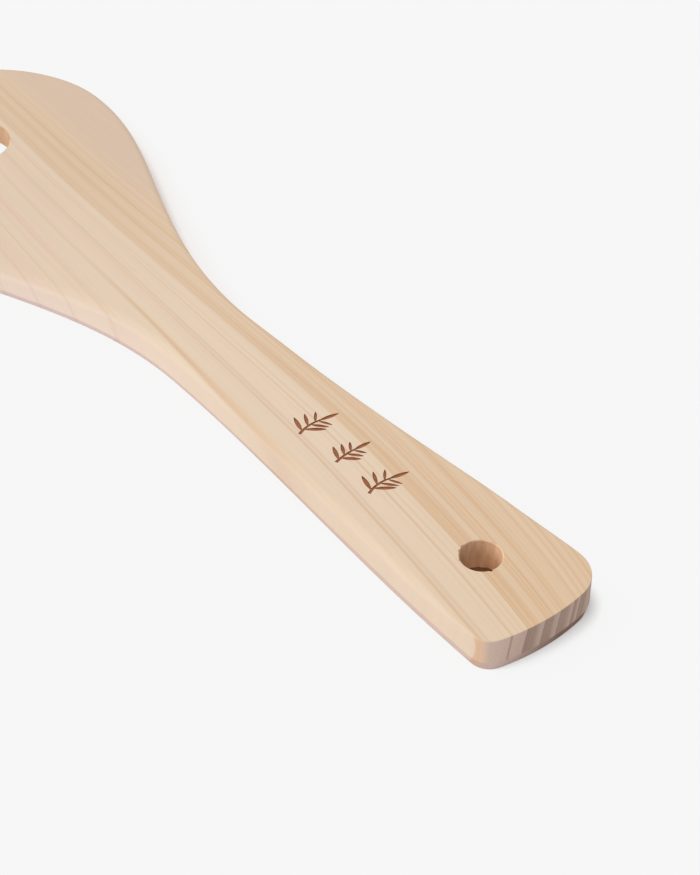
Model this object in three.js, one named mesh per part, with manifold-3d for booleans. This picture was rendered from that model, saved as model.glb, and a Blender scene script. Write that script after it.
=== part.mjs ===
// A paddle-shaped kitchen spatula, sawn and planed from one board of pale softwood.
// Millimetres. X runs from the handle's end to the blade's tip, Y runs across and Z is up.
// The origin is under the middle of the spatula, on the surface that it lies on.

import * as THREE from 'three';
import { mergeVertices, toCreasedNormals } from 'three/addons/utils/BufferGeometryUtils.js';
import Module from 'manifold-3d';

// The board, and the blade's top face, which is planed down towards the tip
const boardThickness = 7.6;
const tipThickness = 4.2;
const thinningFromHole = 96; // from the hanging hole to where the top face starts to fall
const thinningPower = 1.18; // 1 is a straight ramp, 2 is a parabola

// The handle: a shallow round end, two rounded corners and a hole to hang it by
const endWidth = 29.1;
const endRadius = 46;
const endCornerRadius = 5.2;
const hangingHoleDiameter = 8;
const hangingHoleMargin = 19.3; // from the handle's end to the hole's centre

// The waist, the narrowest place between handle and blade
const waistWidth = 20.3;
const waistFromHole = 83.8;

// The blade: a half circle about the centre of its own hole
const bladeWidth = 71.8;
const bladeHoleDiameter = 20;
const holeSpacing = 181.6; // between the centres of the two holes

// How long each end of a flank or a shoulder stays straight, as a share of its run
const flankEndPull = 0.325;
const flankWaistPull = 0.38;
const shoulderWaistPull = 0.388;
const shoulderBladePull = 0.327;

// Top edges: rounded by hand, broader along the blade, and dying out at the handle's end
const handleRound = 1.75;
const bladeRound = 2.7;
const endArris = 0.3;
const roundStart = 3; // from the handle's end
const roundFull = 24; // from the handle's end
const broadeningStart = -15; // from the waist
const broadeningFull = 60; // from the waist

// Lower edges: a steep bevel all round, with some upright side left above it
const bevelHeight = 2;
const bevelInset = 0.45;
const leastSide = 0.3;

// Fineness of the faces
const endArcSteps = 8;
const cornerSteps = 8;
const flankSteps = 26;
const shoulderSteps = 32;
const bladeEndSteps = 26;
const roundSteps = 5;
const hangingHoleSides = 40;
const bladeHoleSides = 64;
const creaseAngle = Math.PI / 7;

// Places along the spatula
const overallLength = hangingHoleMargin + holeSpacing + bladeWidth / 2;
const endX = -overallLength / 2;
const tipX = overallLength / 2;
const hangingHoleX = endX + hangingHoleMargin;
const waistX = hangingHoleX + waistFromHole;
const thinningX = hangingHoleX + thinningFromHole;
const bladeHoleX = hangingHoleX + holeSpacing;

const wasm = await Module();
wasm.setup();

// A curve between two widths, parallel to the axis where it leaves and where it arrives
function easedRun(from, to, startPull, arrivalPull) {
  const run = to.x - from.x;
  const leave = new THREE.Vector2(from.x + startPull * run, from.y);
  const arrive = new THREE.Vector2(to.x - arrivalPull * run, to.y);
  return new THREE.CubicBezierCurve(from, leave, arrive, to);
}

// Half of the plan outline, from the middle of the handle's end round to the tip
function halfOutline() {
  const endCentreX = endX + endRadius;
  const cornerReach = endRadius - endCornerRadius;
  const cornerY = endWidth / 2 - endCornerRadius;
  const cornerX = endCentreX - Math.sqrt(cornerReach ** 2 - cornerY ** 2);
  const cornerTurn = Math.PI - Math.asin(cornerY / cornerReach);
  const bladeRadius = bladeWidth / 2;

  const flankStart = new THREE.Vector2(cornerX, endWidth / 2);
  const waist = new THREE.Vector2(waistX, waistWidth / 2);
  const widest = new THREE.Vector2(bladeHoleX, bladeRadius);

  const arc = (x, y, radius, from, to) => new THREE.EllipseCurve(x, y, radius, radius, from, to, true);
  return [
    { curve: arc(endCentreX, 0, endRadius, Math.PI, cornerTurn), steps: endArcSteps },
    { curve: arc(cornerX, cornerY, endCornerRadius, cornerTurn, Math.PI / 2), steps: cornerSteps },
    { curve: easedRun(flankStart, waist, flankEndPull, flankWaistPull), steps: flankSteps },
    { curve: easedRun(waist, widest, shoulderWaistPull, shoulderBladePull), steps: shoulderSteps },
    { curve: arc(bladeHoleX, 0, bladeRadius, Math.PI / 2, 0), steps: bladeEndSteps },
  ];
}

// Points of the half outline with their outward normals; the first and the last lie on the axis
function outlineStations() {
  const stations = [{ x: endX, y: 0, normalX: -1, normalY: 0 }];
  for (const { curve, steps } of halfOutline()) {
    for (let step = 1; step <= steps; step += 1) {
      const point = curve.getPointAt(step / steps);
      const tangent = curve.getTangentAt(step / steps);
      stations.push({ x: point.x, y: point.y, normalX: -tangent.y, normalY: tangent.x });
    }
  }
  stations.pop();
  stations.push({ x: tipX, y: 0, normalX: 1, normalY: 0 });
  return stations;
}

function topHeight(x) {
  const share = THREE.MathUtils.clamp((x - thinningX) / (tipX - thinningX), 0, 1);
  return boardThickness - (boardThickness - tipThickness) * share ** thinningPower;
}

function topRound(x) {
  const { lerp, smoothstep } = THREE.MathUtils;
  const broadened = smoothstep(x, waistX + broadeningStart, waistX + broadeningFull);
  const grown = smoothstep(x, endX + roundStart, endX + roundFull);
  const radius = lerp(endArris, lerp(handleRound, bladeRound, broadened), grown);
  return Math.min(radius, topHeight(x) - bevelHeight - leastSide);
}

// The edge of the board at one station, from the underside to the top face
function edgeProfile(station) {
  const top = topHeight(station.x);
  const radius = topRound(station.x);
  const profile = [
    { inset: bevelInset, height: 0 },
    { inset: 0, height: bevelHeight },
  ];
  for (let step = 0; step <= roundSteps; step += 1) {
    const angle = (step / roundSteps) * (Math.PI / 2);
    const inset = radius * (1 - Math.cos(angle));
    const height = top - radius * (1 - Math.sin(angle));
    profile.push({ inset, height });
  }
  return profile;
}

// The board as a loft: one ring for each level of the edge profile, closed by a strip above and below
function boardGeometry() {
  const stations = outlineStations();
  const last = stations.length - 1;
  const ringSize = 2 * last;
  const positions = [];
  const triangles = [];

  const profiles = stations.map(edgeProfile);
  const levels = profiles[0].length;
  for (let level = 0; level < levels; level += 1) {
    for (let place = 0; place < ringSize; place += 1) {
      const index = place <= last ? place : ringSize - place;
      const side = place <= last ? 1 : -1;
      const station = stations[index];
      const { inset, height } = profiles[index][level];
      const x = station.x - inset * station.normalX;
      const y = station.y - inset * station.normalY;
      positions.push(x, side * y, height);
    }
  }

  for (let level = 0; level + 1 < levels; level += 1) {
    const low = level * ringSize;
    const high = low + ringSize;
    for (let place = 0; place < ringSize; place += 1) {
      const next = (place + 1) % ringSize;
      triangles.push(low + next, low + place, high + place);
      triangles.push(low + next, high + place, high + next);
    }
  }

  const topRing = (levels - 1) * ringSize;
  const mirrored = (index) => (ringSize - index) % ringSize;
  for (let index = 0; index < last; index += 1) {
    const left = [index, index + 1];
    const right = left.map(mirrored);
    if (index + 1 < last) {
      triangles.push(topRing + right[0], topRing + right[1], topRing + left[1]);
      triangles.push(right[0], left[1], right[1]);
    }
    if (index > 0) {
      triangles.push(topRing + right[0], topRing + left[1], topRing + left[0]);
      triangles.push(right[0], left[0], left[1]);
    }
  }

  const geometry = new THREE.BufferGeometry();
  geometry.setAttribute('position', new THREE.Float32BufferAttribute(positions, 3));
  geometry.setIndex(triangles);
  return geometry;
}

// A drill for a round hole, twice as long as the board is thick
function drillGeometry(diameter, x, sides) {
  const drill = new THREE.CylinderGeometry(diameter / 2, diameter / 2, 2 * boardThickness, sides);
  drill.rotateX(Math.PI / 2);
  drill.translate(x, 0, boardThickness / 2);
  return drill;
}

function solidFrom(geometry) {
  const bare = geometry.clone();
  bare.deleteAttribute('normal');
  bare.deleteAttribute('uv');
  const merged = mergeVertices(bare);
  const vertProperties = new Float32Array(merged.getAttribute('position').array);
  const triVerts = new Uint32Array(merged.index.array);
  return new wasm.Manifold(new wasm.Mesh({ numProp: 3, vertProperties, triVerts }));
}

function geometryFrom(solid) {
  const { vertProperties, triVerts } = solid.getMesh();
  const geometry = new THREE.BufferGeometry();
  geometry.setAttribute('position', new THREE.BufferAttribute(vertProperties, 3));
  geometry.setIndex(new THREE.BufferAttribute(triVerts, 1));
  return toCreasedNormals(geometry, creaseAngle);
}

// The whole spatula is this one piece of wood
function spatulaBody() {
  const hangingDrill = drillGeometry(hangingHoleDiameter, hangingHoleX, hangingHoleSides);
  const bladeDrill = drillGeometry(bladeHoleDiameter, bladeHoleX, bladeHoleSides);
  const solid = solidFrom(boardGeometry())
    .subtract(solidFrom(hangingDrill))
    .subtract(solidFrom(bladeDrill));
  const paleWood = new THREE.MeshStandardMaterial({ color: 0xe6cfb4, roughness: 0.62, metalness: 0 });
  const body = new THREE.Mesh(geometryFrom(solid), paleWood);
  body.name = 'spatula_body';
  return body;
}

const spatula = new THREE.Group();
spatula.add(spatulaBody());

export default spatula;
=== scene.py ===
import math
import random
from functools import reduce

import bmesh
import bpy
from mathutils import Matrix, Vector


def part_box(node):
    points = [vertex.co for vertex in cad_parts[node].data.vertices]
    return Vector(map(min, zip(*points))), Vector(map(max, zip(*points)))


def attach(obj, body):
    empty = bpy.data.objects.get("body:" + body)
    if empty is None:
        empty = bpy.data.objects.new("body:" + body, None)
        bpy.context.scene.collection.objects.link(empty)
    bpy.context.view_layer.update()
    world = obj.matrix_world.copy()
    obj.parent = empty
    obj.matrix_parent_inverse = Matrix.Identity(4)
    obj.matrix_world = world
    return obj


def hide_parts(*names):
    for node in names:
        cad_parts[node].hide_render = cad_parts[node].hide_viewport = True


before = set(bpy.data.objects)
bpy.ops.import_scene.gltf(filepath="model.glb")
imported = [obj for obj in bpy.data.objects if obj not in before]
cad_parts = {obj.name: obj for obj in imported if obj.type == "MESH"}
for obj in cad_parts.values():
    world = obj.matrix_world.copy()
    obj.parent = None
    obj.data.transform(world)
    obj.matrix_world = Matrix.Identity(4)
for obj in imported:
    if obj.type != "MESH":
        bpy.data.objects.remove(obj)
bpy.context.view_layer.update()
mm = 0.001
print("frame loaded:", len(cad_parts), "node")


# small helpers for node trees: a value is a number, a colour or the output of another node
def plug(tree, value, socket):
    if isinstance(value, bpy.types.NodeSocket):
        tree.links.new(value, socket)
    else:
        socket.default_value = value


def calc(tree, operation, *values):
    node = tree.nodes.new("ShaderNodeMath")
    node.operation = operation
    for value, socket in zip(values, node.inputs):
        plug(tree, value, socket)
    return node.outputs[0]


# short names for sums in one tree, each over any number of values
def sums(tree, *operations):
    def chain(operation):
        def pair(first, second):
            return calc(tree, operation, first, second)

        return lambda *values: reduce(pair, values)

    return [chain(operation) for operation in operations]


def ramp(tree, value, fromLow, fromHigh, toLow=0.0, toHigh=1.0, ease="LINEAR"):
    node = tree.nodes.new("ShaderNodeMapRange")
    node.interpolation_type = ease
    for number, setting in enumerate((value, fromLow, fromHigh, toLow, toHigh)):
        plug(tree, setting, node.inputs[number])
    return node.outputs[0]


def vector(tree, x, y, z):
    node = tree.nodes.new("ShaderNodeCombineXYZ")
    for value, socket in zip((x, y, z), node.inputs):
        plug(tree, value, socket)
    return node.outputs[0]


def split(tree, source):
    node = tree.nodes.new("ShaderNodeSeparateXYZ")
    plug(tree, source, node.inputs[0])
    return node.outputs


def noise(tree, place, detail=2.0, roughness=0.5):
    node = tree.nodes.new("ShaderNodeTexNoise")
    plug(tree, place, node.inputs["Vector"])
    node.inputs["Scale"].default_value = 1.0
    node.inputs["Detail"].default_value = detail
    node.inputs["Roughness"].default_value = roughness
    return node.outputs[0]


def blend(tree, share, first, second, mode="MIX"):
    node = tree.nodes.new("ShaderNodeMix")
    node.data_type = "RGBA"
    node.blend_type = mode
    plug(tree, share, node.inputs["Factor"])
    plug(tree, first, node.inputs[6])
    plug(tree, second, node.inputs[7])
    return node.outputs[2]


# a colour made darker or paler by one level
def dim(tree, colour, level):
    return blend(tree, 1.0, colour, vector(tree, level, level, level), "MULTIPLY")


# a place stretched along each axis, so that noise on it is drawn out
def stretched(tree, place, scale, layer=0.0):
    node = tree.nodes.new("ShaderNodeVectorMath")
    node.operation = "MULTIPLY_ADD"
    for value, socket in zip((place, scale, (0.0, 0.0, layer)), node.inputs):
        plug(tree, value, socket)
    return node.outputs[0]


def mixShaders(tree, share, first, second):
    node = tree.nodes.new("ShaderNodeMixShader")
    plug(tree, share, node.inputs[0])
    tree.links.new(first.outputs[0], node.inputs[1])
    tree.links.new(second.outputs[0], node.inputs[2])
    return node


def setSurface(tree, shader, colour, rough, shine):
    for label, value in (("Base Color", colour), ("Roughness", rough), ("Specular IOR Level", shine)):
        plug(tree, value, shader.inputs[label])


# fine relief on a shader, its depth in millimetres
def addBump(tree, shader, height, strength, depth):
    bump = tree.nodes.new("ShaderNodeBump")
    bump.inputs["Strength"].default_value = strength
    bump.inputs["Distance"].default_value = depth * mm
    tree.links.new(height, bump.inputs["Height"])
    tree.links.new(bump.outputs[0], shader.inputs["Normal"])


# a colour as read off a screen, turned into the linear one that the shaders take
def screenColour(red, green, blue):
    def linear(level):
        share = level / 255
        return share / 12.92 if share <= 0.04045 else ((share + 0.055) / 1.055) ** 2.4

    return (linear(red), linear(green), linear(blue), 1.0)


def newMaterial(name):
    material = bpy.data.materials.new(name)
    material.use_nodes = True
    return material, material.node_tree, material.node_tree.nodes["Principled BSDF"]


# Geometry Nodes: a tree with its inputs declared from a dictionary, and its run on an object
socketKinds = {float: "NodeSocketFloat", int: "NodeSocketInt"}
blockKinds = {"Object": "NodeSocketObject", "Material": "NodeSocketMaterial"}


def newShapeTree(name, settings):
    tree = bpy.data.node_groups.new(name, "GeometryNodeTree")
    tree.interface.new_socket("Geometry", in_out="OUTPUT", socket_type="NodeSocketGeometry")
    for label, value in settings.items():
        kind = socketKinds.get(type(value)) or blockKinds[value.bl_rna.identifier]
        tree.interface.new_socket(label, in_out="INPUT", socket_type=kind)
    given = tree.nodes.new("NodeGroupInput").outputs
    return tree, given


def shapeNode(tree, kind, inputs=None, family="GeometryNode", **properties):
    node = tree.nodes.new(family + kind)
    for name, value in properties.items():
        setattr(node, name, value)
    for label, value in (inputs or {}).items():
        plug(tree, value, node.inputs[label])
    return node


def moved(tree, shape, place):
    node = shapeNode(tree, "SetPosition", {"Geometry": shape, "Position": place})
    return node.outputs[0]


def closeShapeTree(tree, shape, material):
    solid = shapeNode(tree, "RealizeInstances", {"Geometry": shape})
    coloured = shapeNode(tree, "SetMaterial",
                         {"Geometry": solid.outputs[0], "Material": material})
    tree.links.new(coloured.outputs[0], tree.nodes.new("NodeGroupOutput").inputs[0])


def linked(name, data):
    thing = bpy.data.objects.new(name, data)
    bpy.context.scene.collection.objects.link(thing)
    return thing


# a curve through knots, each with its point and how far its two handles reach
def bezierCurve(name, knots, steps, closed=False):
    curve = bpy.data.curves.new(name, "CURVE")
    curve.dimensions = "3D"
    curve.resolution_u = steps
    spline = curve.splines.new("BEZIER")
    spline.bezier_points.add(len(knots) - 1)
    spline.use_cyclic_u = closed
    for knot, (point, back, ahead) in zip(spline.bezier_points, knots):
        knot.handle_left_type = knot.handle_right_type = "FREE"
        knot.co = point
        knot.handle_left = point - back
        knot.handle_right = point + ahead
    return linked(name, curve)


# the object's mesh as its modifiers leave it, with the modifiers then gone
def settle(thing):
    evaluated = thing.evaluated_get(bpy.context.evaluated_depsgraph_get())
    mesh = bpy.data.meshes.new_from_object(evaluated)
    thing.modifiers.clear()
    thing.data = mesh
    mesh.name = thing.name
    while len(mesh.materials) and mesh.materials[0] is None:
        mesh.materials.pop(index=0)


def runShapeTree(thing, tree, settings):
    modifier = thing.modifiers.new("shape", "NODES")
    modifier.node_group = tree
    for item in tree.interface.items_tree:
        if item.in_out == "INPUT":
            modifier[item.identifier] = settings[item.name]
    settle(thing)


# camera: where the photographer stood, a long lens looking down along the handle
viewing = {
    "stand": (-286.331, 182.256, 263.021),  # mm
    "look": (0.58584, -0.47414, -0.65725),
    "lens": 82.286,  # mm
    "frame": 36,  # mm, the longer side of what the lens draws
}


def makeCamera():
    camera = linked("camera", bpy.data.cameras.new("camera"))
    camera.data.sensor_width = viewing["frame"]
    camera.data.lens = viewing["lens"]
    camera.location = Vector(viewing["stand"]) * mm
    camera.rotation_euler = Vector(viewing["look"]).to_track_quat("-Z", "Y").to_euler()
    bpy.context.scene.camera = camera


# light: an even white room, and one broad soft lamp from the left of the picture
lighting = {
    "room": 0.80,
    "lamp": 0.95,
    "lampFrom": (0.60, 0.54, 0.59),
    "lampSpread": 40,  # degrees
    "paper": (247, 247, 247),
    "paperBounce": (245, 243, 241),  # what the spatula gets back from it
    "paperGlow": 0.95,  # how far the paper shows without the wide soft shade
    "contactFrom": (0.63, 0.67, 0.40),  # the close shadow lies away from here
    "contactReach": 5.6,  # mm
    "contactShade": (0.25, 0.59),  # how open the paper is where that shadow is full, and where it ends
    "contactDark": 0.22,
    "shade": (86, 57, 38),
    "softReach": 11.0,  # mm, a faint warm shade further out
    "softShade": (0.25, 0.7),
    "softColour": (240, 231, 224),
    "softFrom": (-80.0, -10.0),  # mm, where along the spatula it sets in
    "shadeSamples": 16,
    # painted shade: a dark spot on the paper under the narrow hole, seen through it
    "pitShadeAt": (-99.1, 0.0),  # mm, the dark bottom of the narrow hole
    "pitShadeWide": (5.0, 6.0),
    "paperReach": 4.0,  # m
    "paperDrop": 0.05,  # mm under the spatula
    "touching": 0.2,  # mm, rays shorter than this come from the underside just above it
}


# rays that show a thing as it is: from the camera, or by way of something clear or shiny
def seenDirectly(tree, path):
    seen = calc(tree, "MAXIMUM", path["Is Camera Ray"], path["Is Transmission Ray"])
    return calc(tree, "MAXIMUM", seen, path["Is Glossy Ray"])


def makeRoom():
    scene = bpy.context.scene
    scene.view_settings.view_transform = "Standard"
    world = bpy.data.worlds.new("room")
    scene.world = world
    world.use_nodes = True
    tree = world.node_tree
    tree.nodes.clear()
    light = tree.nodes.new("ShaderNodeBackground")
    light.inputs["Color"].default_value = (1, 1, 1, 1)
    light.inputs["Strength"].default_value = lighting["room"]
    seen = tree.nodes.new("ShaderNodeBackground")
    seen.inputs["Color"].default_value = screenColour(*lighting["paper"])
    path = tree.nodes.new("ShaderNodeLightPath").outputs
    choice = mixShaders(tree, seenDirectly(tree, path), light, seen)
    tree.links.new(choice.outputs[0], tree.nodes.new("ShaderNodeOutputWorld").inputs[0])

    lamp = linked("softLamp", bpy.data.lights.new("softLamp", "SUN"))
    lamp.data.energy = lighting["lamp"]
    lamp.data.angle = math.radians(lighting["lampSpread"])
    lamp.rotation_euler = Vector(lighting["lampFrom"]).to_track_quat("Z", "Y").to_euler()


# the paper as the picture shows it: white, with the spatula's shadow close to it
def paperMaterial():
    material, tree, shader = newMaterial("whitePaper")
    times, minus, most = sums(tree, "MULTIPLY", "SUBTRACT", "MAXIMUM")
    path = tree.nodes.new("ShaderNodeLightPath").outputs
    direct = seenDirectly(tree, path)
    white = screenColour(*lighting["paper"])
    sheet = blend(tree, direct, screenColour(*lighting["paperBounce"]), white)
    setSurface(tree, shader, sheet, 0.9, 0.0)

    def openness(reach, shade, dark):
        node = tree.nodes.new("ShaderNodeAmbientOcclusion")
        node.samples = lighting["shadeSamples"]
        node.inputs["Distance"].default_value = lighting[reach] * mm
        tree.links.new(vector(tree, *lighting["contactFrom"]), node.inputs["Normal"])
        return ramp(tree, node.outputs["AO"], *lighting[shade], dark, 1.0)

    # a close shadow, a faint one further out along the blade, and painted shade, a dark spot, at the
    # bottom of the narrow hole
    contact = openness("contactReach", "contactShade", lighting["contactDark"])
    soft = openness("softReach", "softShade", 0.0)
    x, y, z = split(tree, tree.nodes.new("ShaderNodeTexCoord").outputs["Object"])
    softFrom, softTo = lighting["softFrom"]
    soft = most(soft, ramp(tree, x, softFrom * mm, softTo * mm, 1.0, 0.0))
    pitX, pitY = lighting["pitShadeAt"]
    pitFrom, pitTo = lighting["pitShadeWide"]
    offX = minus(x, pitX * mm)
    offY = minus(y, pitY * mm)
    distance = tree.nodes.new("ShaderNodeVectorMath")
    distance.operation = "LENGTH"
    tree.links.new(vector(tree, offX, offY, 0.0), distance.inputs[0])
    pitShade = ramp(tree, distance.outputs["Value"], pitFrom * mm, pitTo * mm)
    level = times(contact, pitShade)
    lit = blend(tree, soft, screenColour(*lighting["softColour"]), white)
    glow = tree.nodes.new("ShaderNodeEmission")
    tree.links.new(blend(tree, level, screenColour(*lighting["shade"]), lit), glow.inputs["Color"])
    shown = mixShaders(tree, times(direct, lighting["paperGlow"]), shader, glow)

    # clear from below, also for the light that the underside gets from there
    touching = calc(tree, "LESS_THAN", path["Ray Length"], lighting["touching"] * mm)
    touching = times(touching, minus(1.0, path["Is Camera Ray"]))
    fromBelow = tree.nodes.new("ShaderNodeNewGeometry").outputs["Backfacing"]
    clear = most(fromBelow, touching)
    paper = mixShaders(tree, clear, shown, tree.nodes.new("ShaderNodeBsdfTransparent"))
    tree.links.new(paper.outputs[0], tree.nodes["Material Output"].inputs[0])
    return material


def makePaper():
    mesh = bpy.data.meshes.new("paper")
    reach = lighting["paperReach"]
    height = -lighting["paperDrop"] * mm
    corners = [(x * reach, y * reach, height) for x, y in ((-1, -1), (1, -1), (1, 1), (-1, 1))]
    mesh.from_pydata(corners, [], [(0, 1, 2, 3)])
    mesh.materials.append(paperMaterial())
    linked("paper", mesh)


makeCamera()
makeRoom()
makePaper()
print("camera, room and paper made")


# the wood: growth rings that drift across the board and fibres along it, in millimetres of the board
grain = {
    "start": -99.1,  # lengths along the board are counted from here, at the hanging hole
    "surface": 7.6,
    "drift": ((-20, -3.9), (0, 0), (20, 2.95), (40, 5.3), (60, 6.6), (100, 8.15), (140, 10.6),
              (180, 14.3), (220, 18.8)),  # how far the rings have moved over at each length
    "spread": ((-20, 1.06), (20, 0.95), (50, 0.98), (100, 1.1), (220, 1.36)),
    "border": 2.2,  # the ring that ends the honey half of the board
    "borderDrift": (0.0, 150.0, 0.1, 1.1),  # between two lengths, its shift at the one and the other
    "borderFade": (5.0, 9.5),
    "rings": ((-44, -12), (-15.3, -5), (-11.5, -4), (-9.7, -3), (-5.9, -2), (-2, -1), (2.3, 0), (6, 1),
              (11.8, 2), (16.9, 3), (23.3, 4), (28.2, 5), (44, 8)),  # where each growth ring starts
    "lean": (4.0, 30.0, 0.2, -0.27),  # between two places across, their slope through the thickness
    "lateFar": (-9.0, -5.0, 0.66, 0.24),  # likewise, where honey late wood starts in a ring
    "wander": 0.3,
    "wanderScale": (0.016, 0.16),  # along and across
    "streaks": {"broad": (300.0, 7.0, 4), "wide": (260.0, 1.9, 1),
                "narrow": (150.0, 0.62, 2), "fine": (26.0, 0.2, 3)},  # length, width and layer of noise
    "lateNear": (0.8, 0.93),
    "lateEdge": (0.9, 0.955),
    "lateStop": (0.78, 0.94),  # on blade and handle
    "twinAt": (0.56, 0.75),
    "twinWide": 0.1,
    "ripple": 0.76,  # between the fine lines in the late wood
    "rippleWander": 4.5,
    "soften": (30.0, 118.0),  # along the board, from crisp lines to soft ones
    "runsOver": 2.0,  # the ring that runs out over the near edge of the handle
    "runsOverLate": (0.66, 0.9),
    "runsOverAlong": (25.0, 50.0, 100.0, 130.0),
    "sideDrift": 0.65,  # a further shift of the rings at the near side of the handle
    "sideDriftAlong": (5.0, 40.0, 65.0, 100.0),
    "sideDriftAcross": (13.0, 16.5),
    "corner": (-14.5, 0.08),  # late wood round the end: its place along the board, and its curve
    "cornerMiddle": 4.8,
    "cornerFade": 3.4,
    "roseFrom": (100.0, 150.0),  # along the board
    "roseTo": (-16.0, -8.0),  # across it
    "bladeFrom": (60.0, 130.0),  # along the board, where its tints change from handle to blade
    "endFrom": (-8.0, -12.0),  # and where the cut end begins
}

woodColours = {
    "pale": (231, 209, 183),
    "blush": (233, 206, 186),
    "honey": (220, 186, 149),
    "rose": (222, 196, 172),
    "orangeLine": (207, 162, 119),
    "greyLine": (212, 181, 156),
    "cutPale": (211, 186, 171),  # the end, cut across the fibres
    "cutHoney": (162, 136, 123),
    "cutLine": (112, 70, 52),
    # painted sheen: paler colours for the upright sides, on the handle and on the blade
    "side": (234, 213, 194),
    "bladeSideSheen": (245, 225, 210),
    "sideLine": (212, 184, 166),
    "corner": (226, 182, 144),
    # painted shade for the bevel: a cool tint on the sides, and for the end's bevel a dark colour at
    # its far side and a paler one at its near side
    "bevelShadeTint": (240, 236, 248),
    "endBevelShadeFar": (122, 94, 80),
    "endBevelShadeNear": (214, 190, 181),
}

# how strongly each of them shows; a pair is for two places
shares = {
    "nearLine": (0.5, 0.42),  # blade and handle
    "runsOver": 0.52,
    "edge": (0.5, 0.25),  # far half and near half
    "edgeChance": (0.6, 1.0),  # least and most of it, ring by ring
    "farLine": (0.2, 0.3),  # everywhere, and more in the late wood
    "hairline": (0.05, 0.38),  # near half and far half
    "rose": 0.25,  # what is left of the lines under it
    "softLine": 0.5,  # and what is left of them on the blade
    "farHoney": 0.46,
    "farHoneyEnds": (-0.5, -0.08),  # the ring where it starts to fade, on blade and handle
    "lateHoney": (0.24, 0.3),  # blade and handle
    "twinHoney": 0.3,
    "endHoney": 0.2,
    "nearHoney": 0.16,
    "blush": (0.12, 0.75),  # handle and blade
    "greyLine": 0.42,
    "bladeLevel": 0.95,
    # painted sheen on the upright sides
    "side": (0.5, 0.8),  # handle and blade
    "sideLine": 0.5,
    "corner": 0.75,
    "cutFar": (0.42, 0.95),  # early and late wood
    "cutNear": 0.44,
    "cutEdge": (0.3, 0.7),  # far half and near half
    "cutLate": 0.4,
    # painted shade: how far the end's bevel takes its own colour
    "endBevelShade": 0.85,
}


# a smooth curve through a few points, each with a place and a height
def follow(tree, value, points):
    places, heights = zip(*points)
    low, high = min(heights), max(heights)
    node = tree.nodes.new("ShaderNodeFloatCurve")
    knots = node.mapping.curves[0].points
    while len(knots) < len(points):
        knots.new(0.5, 0.5)
    for knot, (place, height) in zip(knots, points):
        knot.location = ((place - places[0]) / (places[-1] - places[0]), (height - low) / (high - low))
    node.mapping.update()
    plug(tree, ramp(tree, value, places[0], places[-1]), node.inputs["Value"])
    return ramp(tree, node.outputs[0], 0.0, 1.0, low, high)


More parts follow.
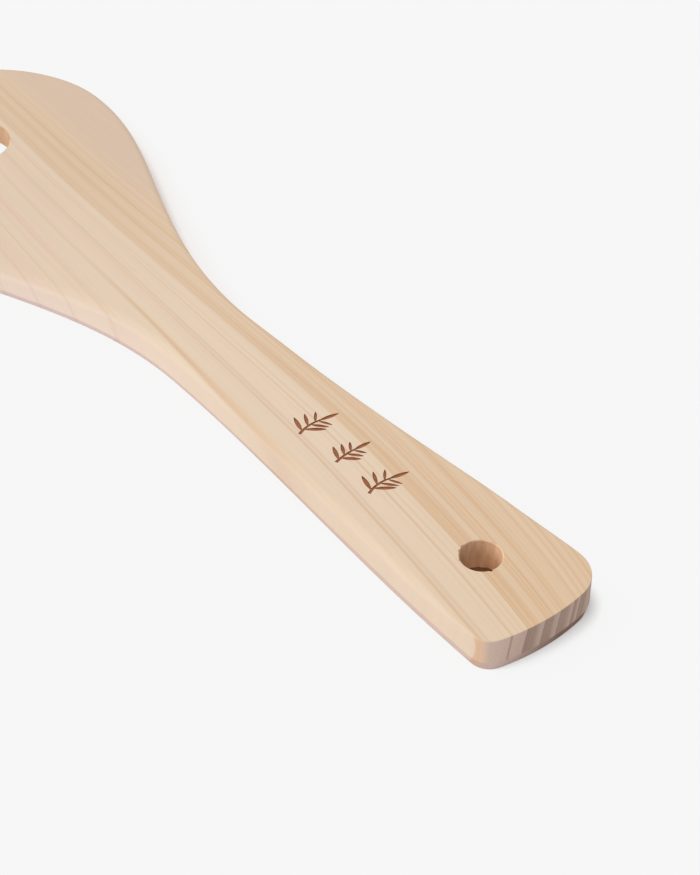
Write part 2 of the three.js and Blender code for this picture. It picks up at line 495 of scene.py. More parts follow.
def woodMaterial():
    material, tree, shader = newMaterial("paleSoftwood")
    place = tree.nodes.new("ShaderNodeTexCoord").outputs
    inMillimetres = tree.nodes.new("ShaderNodeVectorMath")
    inMillimetres.operation = "SCALE"
    inMillimetres.inputs["Scale"].default_value = 1000
    tree.links.new(place["Object"], inMillimetres.inputs[0])
    x, y, z = split(tree, inMillimetres.outputs[0])
    times, plus, minus, most = sums(tree, "MULTIPLY", "ADD", "SUBTRACT", "MAXIMUM")

    def colourOf(name):
        return screenColour(*woodColours[name])

    def step(value, low, high, start=0.0, end=1.0):
        return ramp(tree, value, low, high, start, end, "SMOOTHSTEP")

    def over(value, *limits):
        return ramp(tree, value, *limits)

    # one of two shares, or between them, as a value goes from 0 to 1
    def between(value, pair):
        return ramp(tree, value, 0.0, 1.0, *pair)

    # across the rings: they drift and fan out along the board, and lean through its thickness
    along = minus(x, grain["start"])
    drifted = plus(y, follow(tree, along, grain["drift"]))
    fromBorder = minus(drifted, grain["border"])
    flat = calc(tree, "MULTIPLY_ADD", fromBorder, follow(tree, along, grain["spread"]), grain["border"])
    depth = minus(z, grain["surface"])
    straight = calc(tree, "MULTIPLY_ADD", depth, over(flat, *grain["lean"]), flat)
    wanderAlong, wanderAcross = grain["wanderScale"]
    slow = noise(tree, vector(tree, times(x, wanderAlong), times(straight, wanderAcross), 0.0), 1.0)
    offBy = minus(slow, 0.5)
    across = calc(tree, "MULTIPLY_ADD", offBy, grain["wander"] * 2, straight)

    # a stretch of the board: 1 inside it and 0 outside, with soft ends
    def stretch(begin, full, fade, end):
        return times(step(along, begin, full), step(along, fade, end, 1.0, 0.0))

    # streaks: noise drawn out along the fibres
    def streaks(name):
        length, width, layer = grain["streaks"][name]
        spot = vector(tree, times(x, 1 / length), times(across, 1 / width), float(layer))
        return noise(tree, spot, 2.0, 0.6)

    broad = streaks("broad")
    wide = streaks("wide")
    narrow = streaks("narrow")
    fine = streaks("fine")

    # growth rings: a number for each, and the place inside it from 0 to 1
    pinch = times(over(along, *grain["borderDrift"]),
                  over(across, *grain["borderFade"], 1.0, 0.0))
    runsOut = times(stretch(*grain["sideDriftAlong"]), over(across, *grain["sideDriftAcross"]))
    pinch = calc(tree, "MULTIPLY_ADD", runsOut, grain["sideDrift"], pinch)
    count = follow(tree, minus(across, pinch), grain["rings"])
    inRing = calc(tree, "FRACT", count)
    ringNumber = calc(tree, "FLOOR", count)
    near = calc(tree, "GREATER_THAN", ringNumber, -0.5)
    far = minus(1.0, near)
    odd = calc(tree, "PINGPONG", ringNumber, 1.0)
    crisp = over(along, *grain["soften"], 1.0, 0.0)
    chance = tree.nodes.new("ShaderNodeTexWhiteNoise")
    chance.noise_dimensions = "1D"
    tree.links.new(ringNumber, chance.inputs["W"])

    # late wood: a honey band in each far ring, a soft line in each near one, and a sharp stop
    stop = step(inRing, between(crisp, grain["lateStop"]), 1.0, 1.0, 0.0)
    farStart = over(across, *grain["lateFar"])
    farLate = times(step(inRing, farStart, plus(farStart, 0.3)), stop, far)
    nearLate = times(step(inRing, *grain["lateNear"]), stop, near)
    edgeChance = between(chance.outputs["Value"], shares["edgeChance"])
    edge = times(step(inRing, *grain["lateEdge"]), stop, edgeChance)
    runsOver = calc(tree, "COMPARE", ringNumber, grain["runsOver"], 0.5)
    runsOver = times(runsOver, step(inRing, *grain["runsOverLate"]), stop)
    runsOver = times(runsOver, stretch(*grain["runsOverAlong"]))

    # its twin inside a near ring: grey in every other one, honey in the rest
    twinAt = between(ringNumber, grain["twinAt"])
    offTwin = calc(tree, "ABSOLUTE", minus(inRing, twinAt))
    twin = times(step(offTwin, 0.0, grain["twinWide"], 1.0, 0.0), near,
                 over(ringNumber, 1.0, 3.0, 1.0, 0.2))
    grey = times(twin, odd)
    tan = times(twin, minus(1.0, odd))

    # fine lines in the late wood, and a rose tint at the far side of the blade
    waves = plus(times(across, 1 / grain["ripple"]), times(wide, grain["rippleWander"]))
    inWave = calc(tree, "FRACT", waves)
    ripple = times(step(inWave, 0.4, 0.8), step(inWave, 0.8, 1.0, 1.0, 0.0))
    roseZone = times(step(along, *grain["roseFrom"]), step(across, *grain["roseTo"], 1.0, 0.0))
    calm = times(between(roseZone, (1.0, shares["rose"])),
                 between(crisp, (shares["softLine"], 1.0)))
    broken = over(narrow, 0.3, 0.62, 0.5, 1.0)
    allFar, lateFar = shares["farLine"]
    lineShare = calc(tree, "MULTIPLY_ADD", farLate, lateFar, times(far, allFar))
    rippled = times(ripple, lineShare, broken, calm)
    hairlines = times(step(narrow, 0.54, 0.7), between(far, shares["hairline"]), calm)
    lateLine = times(nearLate, between(crisp, shares["nearLine"]))
    edgeLine = times(edge, between(near, shares["edge"]), broken, calm)
    dark = most(lateLine, edgeLine, times(runsOver, shares["runsOver"]), rippled, hairlines)

    # honey lies deep in the far half, thin in the near one, and a little more towards the handle's end
    fadesOver = between(crisp, shares["farHoneyEnds"])
    farDepth = step(count, fadesOver, 0.02, shares["farHoney"], 0.0)
    honey = calc(tree, "MULTIPLY_ADD", farLate, between(crisp, shares["lateHoney"]), farDepth)
    honey = times(honey, over(wide, 0.3, 0.62, 0.7, 1.0))
    endHoney = over(along, -20.0, 35.0, shares["endHoney"], 0.0)
    nearHoney = times(near, over(wide, 0.45, 0.7, 0.0, shares["nearHoney"]))
    honey = plus(honey, times(tan, shares["twinHoney"]), endHoney, nearHoney)

    onBlade = over(along, *grain["bladeFrom"], *shares["blush"])
    blush = times(over(broad, 0.42, 0.62), onBlade)
    colour = blend(tree, blush, colourOf("pale"), colourOf("blush"))
    colour = blend(tree, honey, colour, colourOf("honey"))
    colour = blend(tree, roseZone, colour, colourOf("rose"))
    colour = blend(tree, times(grey, shares["greyLine"]), colour, colourOf("greyLine"))
    colour = blend(tree, dark, colour, colourOf("orangeLine"))
    level = plus(over(fine, 0.25, 0.75, 0.965, 1.025), over(narrow, 0.3, 0.7, 0.01, -0.01))
    level = times(level, over(along, 90.0, 150.0, 1.0, shares["bladeLevel"]))
    colour = dim(tree, colour, level)

    # painted sheen: the upright sides are a little paler, on the blade most of all low down; and late
    # wood comes out round the handle's corners
    facing = split(tree, place["Normal"])
    endways = calc(tree, "ABSOLUTE", facing[0])
    upright = step(calc(tree, "ABSOLUTE", facing[2]), 0.35, 0.8, 1.0, 0.0)
    paler = times(over(along, 45.0, 110.0), over(z, 2.5, 6.5, 1.0, 0.45))
    sideSheenColour = blend(tree, paler, colourOf("side"), colourOf("bladeSideSheen"))
    sideSheenShare = times(upright, over(along, 60.0, 115.0, *shares["side"]))
    colour = blend(tree, sideSheenShare, colour, sideSheenColour)
    overSide = over(along, 75.0, 110.0, 0.0, shares["sideLine"])
    colour = blend(tree, times(upright, most(nearLate, edge), overSide), colour, colourOf("sideLine"))
    cornerAt, cornerCurve = grain["corner"]
    offMiddle = minus(z, grain["cornerMiddle"])
    cornerLine = calc(tree, "MULTIPLY_ADD", times(offMiddle, offMiddle), cornerCurve, cornerAt)
    pastCorner = minus(cornerLine, along)
    cornerFades = over(pastCorner, 0.3, grain["cornerFade"], 1.0, 0.25)
    corner = times(upright, step(pastCorner, 0.0, 0.45), cornerFades)
    colour = blend(tree, times(corner, shares["corner"]), colour, colourOf("corner"))

    # the cut end: mauve grey, with the rings as strong bars and fine pores between them
    pores = noise(tree, vector(tree, 0.0, times(across, 5.5), times(z, 2.2)), 3.0, 0.65)
    farBars = times(step(inRing, 0.05, 0.62, *shares["cutFar"]), far)
    nearBars = over(y, 6.0, 13.5, shares["cutNear"], 0.0)
    bars = calc(tree, "MULTIPLY_ADD", nearBars, near, farBars)
    cut = blend(tree, bars, colourOf("cutPale"), colourOf("cutHoney"))
    cutEdge = times(edge, between(near, shares["cutEdge"]))
    cutLines = most(cutEdge, times(most(nearLate, dark), shares["cutLate"]))
    cut = blend(tree, cutLines, cut, colourOf("cutLine"))
    cut = dim(tree, cut, over(pores, 0.3, 0.7, 0.88, 1.08))
    cutShare = times(step(endways, 0.5, 0.78), over(along, *grain["endFrom"]))
    colour = blend(tree, cutShare, colour, cut)

    # painted shade on the bevel under them: a cool, duller tint on the sides, and at the end a darker
    # colour, most of all towards its far side
    bevel = times(over(facing[2], -0.2, -0.12, 1.0, 0.0), over(facing[2], -0.7, -0.5))
    endBevelShade = blend(tree, over(y, -2.0, 13.0), colourOf("endBevelShadeFar"), colourOf("endBevelShadeNear"))
    sideBevelShade = blend(tree, 1.0, colour, colourOf("bevelShadeTint"), "MULTIPLY")
    bevelShadeColour = blend(tree, times(cutShare, shares["endBevelShade"]), sideBevelShade, endBevelShade)
    colour = blend(tree, bevel, colour, bevelShadeColour)

    rough = plus(over(fine, 0.3, 0.7, 0.56, 0.68), times(cutShare, 0.15))
    setSurface(tree, shader, colour, rough, 0.3)
    addBump(tree, shader, calc(tree, "MULTIPLY_ADD", dark, 0.5, fine), 0.3, 0.06)
    return material


# burnt wood: the floor and walls of the sprigs, pressed in with a hot iron
burnt = {
    "deep": (134, 78, 48),
    "light": (188, 122, 82),
    "fibres": (150.0, 4200.0, 0.0),  # noise to the metre, along and across the board
    "patches": (500.0, 700.0, 0.0),
}


def burntMaterial():
    material, tree, shader = newMaterial("burntWood")
    place = tree.nodes.new("ShaderNodeTexCoord").outputs["Object"]
    fibre = noise(tree, stretched(tree, place, burnt["fibres"]), 3.0)
    patch = noise(tree, stretched(tree, place, burnt["patches"], 3.0), 2.0)
    fibreShare = ramp(tree, fibre, 0.3, 0.7, 0.0, 0.55)
    share = calc(tree, "ADD", fibreShare, ramp(tree, patch, 0.35, 0.7, 0.0, 0.45))
    colour = blend(tree, share, screenColour(*burnt["deep"]), screenColour(*burnt["light"]))
    setSurface(tree, shader, colour, ramp(tree, fibre, 0.3, 0.7, 0.6, 0.8), 0.3)
    addBump(tree, shader, fibre, 0.4, 0.05)
    return material


# drilled wood: the walls of the holes, warm, with the torn ends of the fibres; on the narrow hole's
# wall, painted light and shade and a painted shadow at its lower rim
drilled = {
    "warm": (232, 198, 164),
    "torn": (208, 168, 134),
    # painted shadow: a dark band at the lower rim of the narrow hole, its height and how ragged its
    # edge is
    "rim": (150, 104, 78),
    "rimShadeHeight": (0.3, 0.55),  # mm
    "rimShadeRagged": 0.6,  # mm
    "fibres": (700.0, 1500.0, 300.0),  # noise to the metre
    # painted light and shade round the narrow hole's wall
    "holeLightAndShade": (0.72, 1.3),  # darker and paler than that, round the wall of the narrow hole
    "holeLitTowards": (-0.63, -0.78),
    "holeLitReach": 3.2,  # mm
}


def drilledMaterial():
    material, tree, shader = newMaterial("drilledWood")
    place = tree.nodes.new("ShaderNodeTexCoord").outputs["Object"]
    x, y, z = split(tree, place)
    fibre = noise(tree, stretched(tree, place, drilled["fibres"]), 3.0, 0.6)
    warm, torn, rimShadeColour = [screenColour(*drilled[name]) for name in ("warm", "torn", "rim")]
    colour = blend(tree, ramp(tree, fibre, 0.3, 0.7), warm, torn)

    # the narrow hole: painted light and shade, paler on one side of its wall and darker on the other,
    # and a painted shadow dark at its lower rim
    narrowHole = calc(tree, "LESS_THAN", x, 0.0)
    offCentre = calc(tree, "SUBTRACT", x, grain["start"] * mm)
    towardsX, towardsY = drilled["holeLitTowards"]
    aroundHole = calc(tree, "MULTIPLY_ADD", offCentre, towardsX, calc(tree, "MULTIPLY", y, towardsY))
    holeLitReach = drilled["holeLitReach"] * mm
    holeLightLevel = ramp(tree, aroundHole, -holeLitReach, holeLitReach, *drilled["holeLightAndShade"])
    colour = dim(tree, colour, ramp(tree, narrowHole, 0.0, 1.0, 1.0, holeLightLevel))
    rimShadeLow, rimShadeHigh = drilled["rimShadeHeight"]
    rim = calc(tree, "MULTIPLY_ADD", fibre, -drilled["rimShadeRagged"] * mm, z)
    rim = calc(tree, "MULTIPLY", ramp(tree, rim, rimShadeLow * mm, rimShadeHigh * mm, 1.0, 0.0), narrowHole)
    colour = blend(tree, rim, colour, rimShadeColour)
    setSurface(tree, shader, colour, ramp(tree, fibre, 0.3, 0.7, 0.7, 0.85), 0.2)
    addBump(tree, shader, fibre, 0.4, 0.1)
    return material


paleSoftwood = woodMaterial()
drilledWood = drilledMaterial()
burntWood = burntMaterial()
print("materials made")


# the body: one board, an outline of arcs and eased runs with a worked edge all round (mm)
body = {
    "tipThickness": 4.2,
    "thinningFromHole": 96.0,
    "thinningPower": 1.18,
    "endWidth": 29.1,
    "endRadius": 46.0,
    "hangingHole": 8.0,
    "hangingHoleMargin": 19.3,
    "waistWidth": 20.3,
    "waistFromHole": 83.8,
    "bladeHole": 20.0,
    "near": {"corner": 4.5, "flankPulls": (0.344, 0.346), "shoulderPulls": (0.398, 0.353)},
    "far": {"corner": 8.2, "flankPulls": (0.331, 0.522), "shoulderPulls": (0.392, 0.32)},
    "endArris": 0.3,
    "handleRound": 1.75,
    "bladeRound": 2.7,
    "roundGrows": (3.0, 24.0),  # from the handle's end
    "roundBroadens": (-15.0, 60.0),  # from the waist
    "roundWander": 0.1,  # share of the rounding that the hand adds or leaves
    "roundWaves": (45.0, 45.0, 0.0),  # to the metre
    "farRound": 0.6,  # and what it leaves of it on the far side
    "farBlend": 4.0,  # either way of the middle line
    "bevelHeight": (2.0, 1.5),  # at the handle's end and along the blade
    "bevelNarrows": (25.0, 80.0),  # from the handle's end
    "bevelInset": 0.45,
    "leastSide": 0.3,
    "curveSteps": 64,  # between two knots of the outline
    "stations": 720,
    "rows": {"underside": 10, "bevel": 3, "side": 5, "round": 9, "top": 14},
    "capEase": 2.2,
    "meetingInset": 3.0,  # where the middle line of the two faces starts and stops
    "closeWithin": 0.001,
}

lowCorner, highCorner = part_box("spatula_body")
endX, tipX = lowCorner.x, highCorner.x
bladeRadius, boardThickness = highCorner.y, highCorner.z
hangingHoleX = endX + body["hangingHoleMargin"] * mm
waistX = hangingHoleX + body["waistFromHole"] * mm
thinningX = hangingHoleX + body["thinningFromHole"] * mm
bladeHoleX = tipX - bladeRadius


def topHeight(x):
    share = min(max((x - thinningX) / (tipX - thinningX), 0), 1)
    thinning = boardThickness - body["tipThickness"] * mm
    return boardThickness - thinning * share ** body["thinningPower"]


# the closed plan outline: each knot has its place, its direction and how far its two handles reach
def sideKnots(side):
    def arcReach(radius, turn):
        return 4 / 3 * math.tan(turn / 4) * radius

    endRadius = body["endRadius"] * mm
    cornerRadius = side["corner"] * mm
    cornerY = body["endWidth"] / 2 * mm - cornerRadius
    endTurn = math.asin(cornerY / (endRadius - cornerRadius))
    endCentre = Vector((endX + endRadius, 0))
    outward = Vector((-math.cos(endTurn), math.sin(endTurn)))
    cornerX = (endCentre + outward * (endRadius - cornerRadius)).x

    flankStart = Vector((cornerX, body["endWidth"] / 2 * mm))
    waist = Vector((waistX, body["waistWidth"] / 2 * mm))
    widest = Vector((bladeHoleX, bladeRadius))
    endReach = arcReach(endRadius, endTurn)
    cornerReach = arcReach(cornerRadius, math.pi / 2 - endTurn)
    bladeReach = arcReach(bladeRadius, math.pi / 2)
    flankLeave, flankArrive = [pull * (waist.x - flankStart.x) for pull in side["flankPulls"]]
    shoulderLeave, shoulderArrive = [pull * (widest.x - waist.x) for pull in side["shoulderPulls"]]
    ahead = Vector((1, 0))
    return [
        (Vector((endX, 0)), Vector((0, 1)), endReach, endReach),
        (endCentre + outward * endRadius, Vector((outward.y, -outward.x)), endReach, cornerReach),
        (flankStart, ahead, cornerReach, flankLeave),
        (waist, ahead, flankArrive, shoulderLeave),
        (widest, ahead, shoulderArrive, bladeReach),
        (Vector((tipX, 0)), Vector((0, -1)), bladeReach, bladeReach),
    ]


def outlineCurve():
    near, far = sideKnots(body["near"]), sideKnots(body["far"])
    point, heading, before, after = near[0]
    knots = [(point, heading, far[0][2], after)] + near[1:]
    for point, heading, before, after in reversed(far[1:-1]):
        knots.append((Vector((point.x, -point.y)), Vector((-heading.x, heading.y)), after, before))
    spread = [(point.to_3d(), (heading * before).to_3d(), (heading * after).to_3d())
              for point, heading, before, after in knots]
    return bezierCurve("outline", spread, body["curveSteps"], True)


def bodyTree(settings):
    tree, given = newShapeTree("spatulaBody", settings)
    times, plus, minus = sums(tree, "MULTIPLY", "ADD", "SUBTRACT")
    source = shapeNode(tree, "ObjectInfo", {"Object": given["Outline"]})
    outline = source.outputs["Geometry"]
    rows = body["rows"]
    allRows = sum(rows.values())
    grid = shapeNode(tree, "MeshGrid",
                     {"Size X": 1.0, "Size Y": 1.0,
                      "Vertices X": given["Stations"], "Vertices Y": allRows + 1})
    u, v, flat = split(tree, tree.nodes.new("GeometryNodeInputPosition").outputs[0])
    u = plus(u, 0.5)
    v = calc(tree, "MULTIPLY_ADD", v, allRows, allRows / 2)

    # how far each band of rows has come, from 0 to 1
    share, first = {}, 0
    for band, size in rows.items():
        share[band] = ramp(tree, v, float(first), float(first + size))
        first += size

    sample = shapeNode(tree, "SampleCurve", {"Curves": outline, "Factor": u}, mode="FACTOR")
    pointX, pointY, flat = split(tree, sample.outputs["Position"])
    headX, headY, flat = split(tree, sample.outputs["Tangent"])

    def topFace(place):
        past = ramp(tree, place, given["Thinning from"], given["Tip"])
        fall = calc(tree, "POWER", past, given["Thinning power"])
        return ramp(tree, fall, 0.0, 1.0, given["Board"], given["Tip thickness"])

    # rounding of the top edge: none at the handle's end, broader on the blade, uneven as by hand
    broad = ramp(tree, pointX, given["Broadens from"], given["Broadens to"],
                 given["Handle round"], given["Blade round"], "SMOOTHSTEP")
    radius = ramp(tree, pointX, given["Grows from"], given["Grows to"],
                  given["End arris"], broad, "SMOOTHSTEP")
    places = stretched(tree, sample.outputs["Position"], body["roundWaves"], 2.0)
    uneven = ramp(tree, noise(tree, places, 1.0), 0.3, 0.7, -1.0, 1.0)
    uneven = calc(tree, "MULTIPLY_ADD", uneven, given["Round wander"], 1.0)
    farBlend = body["farBlend"] * mm
    farShare = ramp(tree, pointY, -farBlend, farBlend, given["Far round"], 1.0)
    uneven = times(uneven, farShare)
    radius = times(radius, uneven)
    edgeTop = topFace(pointX)
    bevelTop = ramp(tree, pointX, given["Narrows from"], given["Narrows to"],
                    given["End bevel"], given["Blade bevel"], "SMOOTHSTEP")
    room = minus(edgeTop, bevelTop, given["Least side"])
    radius = calc(tree, "MINIMUM", radius, room)

    turn = times(share["round"], math.pi / 2)
    underBevel = minus(1.0, share["bevel"])
    bevelInset = times(underBevel, given["Bevel inset"])
    turnedIn = minus(1.0, calc(tree, "COSINE", turn))
    inset = plus(bevelInset, times(turnedIn, radius))
    x = calc(tree, "MULTIPLY_ADD", inset, headY, pointX)
    y = minus(pointY, times(inset, headX))

    # the two faces run in to the middle line, where opposite stations meet; rows lie close at the edge
    opposite = shapeNode(tree, "SampleCurve",
                         {"Curves": outline, "Factor": minus(1.0, u)}, mode="FACTOR")
    bothX = plus(pointX, split(tree, opposite.outputs["Position"])[0])
    bothHeads = plus(headY, split(tree, opposite.outputs["Tangent"])[1])
    meetX = calc(tree, "MULTIPLY_ADD", bothHeads, given["Meeting inset"], bothX)
    meetX = times(meetX, 0.5)
    away = calc(tree, "POWER", minus(1.0, share["underside"]), body["capEase"])
    inward = plus(calc(tree, "POWER", share["top"], body["capEase"]), away)
    x = ramp(tree, inward, 0.0, 1.0, x, meetX)
    y = times(y, minus(1.0, inward))

    # height: bevel, side, rounding; the top face falls towards the tip
    sideHeight = minus(topFace(x), radius, bevelTop)
    height = times(share["bevel"], bevelTop)
    height = calc(tree, "MULTIPLY_ADD", share["side"], sideHeight, height)
    height = calc(tree, "MULTIPLY_ADD", calc(tree, "SINE", turn), radius, height)

    placed = moved(tree, grid.outputs["Mesh"], vector(tree, x, y, height))
    closed = shapeNode(tree, "MergeByDistance",
                       {"Geometry": placed, "Distance": body["closeWithin"] * mm})
    outward = shapeNode(tree, "FlipFaces", {"Mesh": closed.outputs[0]})
    closeShapeTree(tree, outward.outputs[0], given["Wood"])
    return tree


def makeBody():
    outline = outlineCurve()
    settings = {
        "Outline": outline,
        "Stations": body["stations"] + 1,
        "Board": boardThickness,
        "Tip thickness": body["tipThickness"] * mm,
        "Thinning from": thinningX,
        "Thinning power": body["thinningPower"],
        "Tip": tipX,
        "End arris": body["endArris"] * mm,
        "Handle round": body["handleRound"] * mm,
        "Blade round": body["bladeRound"] * mm,
        "Round wander": body["roundWander"],
        "Far round": body["farRound"],
        "End bevel": body["bevelHeight"][0] * mm,
        "Blade bevel": body["bevelHeight"][1] * mm,
        "Bevel inset": body["bevelInset"] * mm,
        "Least side": body["leastSide"] * mm,
        "Meeting inset": body["meetingInset"] * mm,
        "Wood": paleSoftwood,
    }
    spans = (("Grows", endX, "roundGrows"), ("Broadens", waistX, "roundBroadens"),
             ("Narrows", endX, "bevelNarrows"))
    for label, start, span in spans:
        reaches = [start + reach * mm for reach in body[span]]
        settings[label + " from"], settings[label + " to"] = reaches
    spatula = linked("spatula", bpy.data.meshes.new("spatula"))
    runShapeTree(spatula, bodyTree(settings), settings)
    bpy.data.objects.remove(outline)
    return spatula


spatula = makeBody()
print("body made:", len(spatula.data.polygons), "faces")


# the two holes: drilled straight through, with a fine broken edge and a few torn fibres (mm)
drilling = {
    "arris": 0.15,
    "chipDepth": 0.35,
    "chipReach": 0.28,
    "chips": 6,
    "chipWidth": (0.03, 0.08),  # radians round the rim
    "chipSize": (0.3, 1.0),
    "facets": 150,
    "seed": 11,
}


def drill(name, x, diameter, chance):
    facets = drilling["facets"]
    chips = [(chance.uniform(0, math.tau), chance.uniform(*drilling["chipWidth"]),
              chance.uniform(*drilling["chipSize"])) for chip in range(drilling["chips"])]
    shaft = bmesh.new()
    rings = []
    for level in ("under", "lower", "upper", "over"):
        ring = []
        for step in range(facets):
            angle = step / facets * math.tau
            top = topHeight(x + math.cos(angle) * diameter / 2 * mm)
            torn = 0
            for place, width, size in chips:
                apart = (angle - place + math.pi) % math.tau - math.pi
                torn += size * math.exp(-(apart / width) ** 2)
            arris = drilling["arris"]
            rim = arris + torn * drilling["chipReach"]
            rimDepth = (arris + torn * drilling["chipDepth"]) * mm
            flare, height = {
                "under": (2 * arris, -arris * mm),
                "lower": (0, arris * mm),
                "upper": (0, top - rimDepth),
                "over": (2 * rim, top + rimDepth),
            }[level]
            radius = (diameter / 2 + flare) * mm
            point = (x + math.cos(angle) * radius, math.sin(angle) * radius, height)
            ring.append(shaft.verts.new(point))
        rings.append(ring)
    for low, high in zip(rings, rings[1:]):
        for step in range(facets):
            following = (step + 1) % facets
            shaft.faces.new((low[step], low[following], high[following], high[step]))
    shaft.faces.new(rings[-1])
    shaft.faces.new(reversed(rings[0]))
    bmesh.ops.recalc_face_normals(shaft, faces=shaft.faces)
    mesh = bpy.data.meshes.new(name)
    shaft.to_mesh(mesh)
    shaft.free()
    mesh.materials.append(drilledWood)
    return linked(name, mesh)


def cutAway(thing, cutter):
    modifier = thing.modifiers.new("cut", "BOOLEAN")
    modifier.operation = "DIFFERENCE"
    modifier.solver = "EXACT"
    modifier.use_self = True  # leaves run into their stem
    modifier.object = cutter
    modifier.material_mode = "TRANSFER"
    settle(thing)
    bpy.data.objects.remove(cutter)


tearing = random.Random(drilling["seed"])
cutAway(spatula, drill("hangingHole", hangingHoleX, body["hangingHole"], tearing))
cutAway(spatula, drill("bladeHole", bladeHoleX, body["bladeHole"], tearing))
print("holes drilled:", len(spatula.data.polygons), "faces")


# the burnt ornament: three small leafy sprigs along the handle, pressed a little into the wood (mm)
sprigs = {
    "marks": ((-73.4, 5.3, 1.0, 0.8), (-62.6, 4.6, 0.9, 0.4),
              (-51.7, 5.0, 1.0, 0.7)),  # root, size and bow
    "run": (0.7, -6.1),  # from the root to the tip of the stem
    "stemWidth": 0.66,
    "stemThins": 0.6,
    "leaves": 3,  # on each side
    "leafLength": 4.5,
    "leafWidth": 0.9,
    "leafTaper": 0.7,
    "leafLean": 54.0,  # degrees off the stem
    "leafPoint": 1.7,  # 1 is a plain oval, more is a sharper tip
    "leftSpan": (0.16, 0.76),
    "rightSpan": (0.26, 0.86),
    "tipSpan": (0.9, 0.91),
    "depth": 0.2,
    "overrun": 0.6,
    "curveSteps": 40,
    "stemSteps": 60,
    "leafSides": 36,
}


def stemCurve(rootX, rootY, size, bow):
    middle = (sprigs["overrun"] - sprigs["depth"]) / 2 * mm + boardThickness
    start = Vector((rootX * mm, rootY * mm, middle))
    run = Vector(sprigs["run"]).to_3d() * size * mm
    aside = Vector((bow * size * mm, 0, 0))
    leave, arrive = run / 3 + aside, run / 3 - aside
    ends = [(start, leave, leave), (start + run, arrive, arrive)]
    return bezierCurve("stem", ends, sprigs["curveSteps"])


def sprigTree(settings):
    tree, given = newShapeTree("burntSprig", settings)
    times, plus, minus = sums(tree, "MULTIPLY", "ADD", "SUBTRACT")
    source = shapeNode(tree, "ObjectInfo", {"Object": given["Stem"]})

    # the stem: a thin bar that thins out towards the tip
    fine = shapeNode(tree, "ResampleCurve",
                     {"Curve": source.outputs["Geometry"], "Count": sprigs["stemSteps"]})
    level = shapeNode(tree, "SetCurveNormal", {"Curve": fine.outputs[0]}, mode="Z_UP")
    level = level.outputs[0]
    run = tree.nodes.new("GeometryNodeSplineParameter").outputs["Factor"]
    thins = ramp(tree, run, 0.0, 1.0, 1.0, given["Stem thins"])
    bar = shapeNode(tree, "MeshCube",
                    {"Vertices X": sprigs["stemSteps"] + 1, "Vertices Y": 2, "Vertices Z": 2})
    bar.inputs["Size"].default_value = (1, 1, 1)
    barX, barY, barZ = split(tree, tree.nodes.new("GeometryNodeInputPosition").outputs[0])
    share = plus(barX, 0.5)
    spot = shapeNode(tree, "SampleCurve",
                     {"Curves": level, "Factor": share, "Value": thins}, mode="FACTOR")
    headX, headY, flat = split(tree, spot.outputs["Tangent"])
    centreX, centreY, centreZ = split(tree, spot.outputs["Position"])
    aside = times(barY, given["Stem width"], spot.outputs["Value"])
    barPlace = vector(tree, minus(centreX, times(aside, headY)),
                      calc(tree, "MULTIPLY_ADD", aside, headX, centreY),
                      calc(tree, "MULTIPLY_ADD", barZ, given["Cut height"], centreZ))
    stemBar = moved(tree, bar.outputs["Mesh"], barPlace)

    # one leaf: a pointed oval prism that starts on the stem
    oval = shapeNode(tree, "MeshCylinder",
                     {"Vertices": sprigs["leafSides"], "Radius": 1.0, "Depth": given["Cut height"]},
                     fill_type="NGON")
    ovalX, ovalY, ovalZ = split(tree, tree.nodes.new("GeometryNodeInputPosition").outputs[0])
    width = calc(tree, "POWER", calc(tree, "ABSOLUTE", ovalY), sprigs["leafPoint"])
    width = times(width, calc(tree, "SIGN", ovalY), 0.5)
    length = calc(tree, "MULTIPLY_ADD", ovalX, 0.5, 0.5)
    leafPlace = vector(tree, times(length, given["Leaf length"]),
                       times(width, given["Leaf width"]), ovalZ)
    leaf = moved(tree, oval.outputs["Mesh"], leafPlace)

    joined = tree.nodes.new("GeometryNodeJoinGeometry")
    tree.links.new(stemBar, joined.inputs[0])
    lastLeaf = minus(given["Left leaves"], 1.0)
    for side, turn in (("Left", 1), ("Right", -1), ("Tip", 0)):
        spread = shapeNode(tree, "TrimCurve",
                           {"Curve": level, "Start": given[side + " from"],
                            "End": given[side + " to"]}, mode="FACTOR")
        points = shapeNode(tree, "CurveToPoints",
                           {"Curve": spread.outputs[0], "Count": given[side + " leaves"]}, mode="COUNT")
        heading = shapeNode(tree, "AlignRotationToVector",
                            {"Vector": points.outputs["Tangent"]}, "FunctionNode", axis="X")
        leanBy = vector(tree, 0.0, 0.0, times(given["Leaf lean"], float(turn)))
        leaning = shapeNode(tree, "RotateRotation",
                            {"Rotation": heading.outputs[0], "Rotate By": leanBy},
                            "FunctionNode", rotation_space="LOCAL")
        order = tree.nodes.new("GeometryNodeInputIndex").outputs[0]
        size = ramp(tree, order, 0.0, lastLeaf, 1.0, given["Leaf taper"])
        leaves = shapeNode(tree, "InstanceOnPoints",
                           {"Points": points.outputs["Points"], "Instance": leaf,
                            "Rotation": leaning.outputs[0], "Scale": vector(tree, size, size, 1.0)})
        tree.links.new(leaves.outputs[0], joined.inputs[0])
    closeShapeTree(tree, joined.outputs[0], given["Burnt"])
    return tree


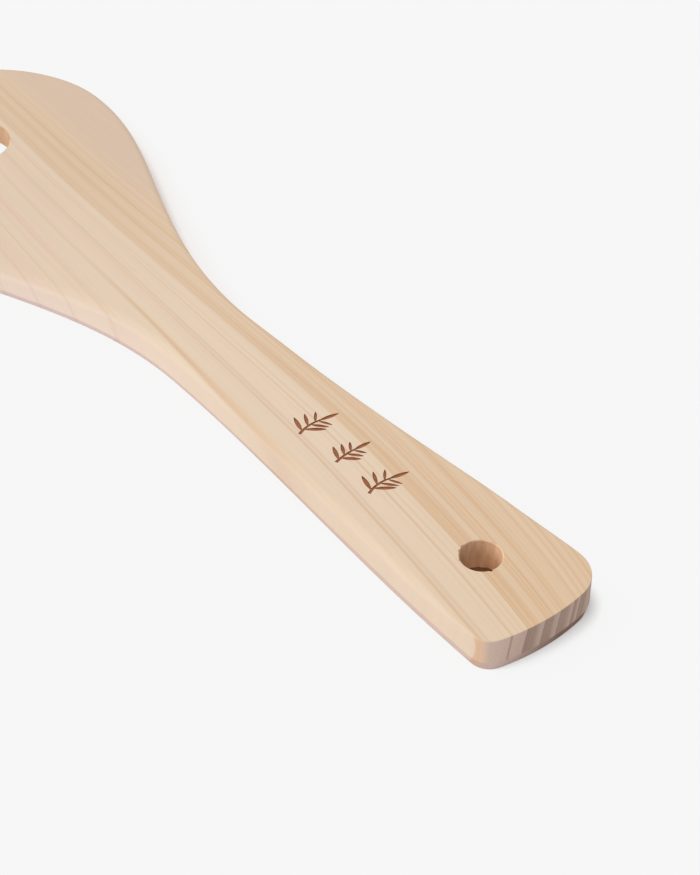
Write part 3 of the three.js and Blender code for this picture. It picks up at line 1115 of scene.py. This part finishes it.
def makeSprig(rootX, rootY, size, bow):
    stem = stemCurve(rootX, rootY, size, bow)
    settings = {
        "Stem": stem,
        "Stem width": sprigs["stemWidth"] * mm,
        "Stem thins": sprigs["stemThins"],
        "Leaf length": sprigs["leafLength"] * size * mm,
        "Leaf width": sprigs["leafWidth"] * mm,
        "Leaf taper": sprigs["leafTaper"],
        "Leaf lean": math.radians(sprigs["leafLean"]),
        "Left leaves": sprigs["leaves"],
        "Right leaves": sprigs["leaves"],
        "Tip leaves": 1,
        "Cut height": (sprigs["depth"] + sprigs["overrun"]) * mm,
        "Burnt": burntWood,
    }
    for side, span in (("Left", "leftSpan"), ("Right", "rightSpan"), ("Tip", "tipSpan")):
        settings[side + " from"], settings[side + " to"] = sprigs[span]
    cutter = linked("sprig", bpy.data.meshes.new("sprig"))
    runShapeTree(cutter, sprigTree(settings), settings)
    bpy.data.objects.remove(stem)
    return cutter


# all three as one cutter, because cutting them one by one leaves open edges
def allSprigs():
    shapes = bmesh.new()
    for mark in sprigs["marks"]:
        cutter = makeSprig(*mark)
        shapes.from_mesh(cutter.data)
        bpy.data.objects.remove(cutter)
    mesh = bpy.data.meshes.new("sprigs")
    shapes.to_mesh(mesh)
    shapes.free()
    mesh.materials.append(burntWood)
    return linked("sprigs", mesh)


cutAway(spatula, allSprigs())
print("sprigs burnt in:", len(spatula.data.polygons), "faces")


# clean up, crisp edges where the faces turn sharply, and the hand-over to the frame
surface = {
    "crispAngle": 11,  # degrees
    "mergeWithin": 0.0005,  # mm
    "leastEdge": 0.0002,  # mm
}


def finishSurface(thing):
    work = bmesh.new()
    work.from_mesh(thing.data)
    bmesh.ops.remove_doubles(work, verts=work.verts, dist=surface["mergeWithin"] * mm)
    bmesh.ops.dissolve_degenerate(work, edges=work.edges, dist=surface["leastEdge"] * mm)
    bmesh.ops.recalc_face_normals(work, faces=work.faces)
    openEdges = sum(1 for edge in work.edges if not edge.is_manifold)
    for face in work.faces:
        face.smooth = True
    work.to_mesh(thing.data)
    work.free()
    thing.data.set_sharp_from_angle(angle=math.radians(surface["crispAngle"]))
    print("surface finished:", len(thing.data.polygons), "faces,", openEdges, "open edges")


finishSurface(spatula)
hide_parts("spatula_body")
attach(spatula, "root")
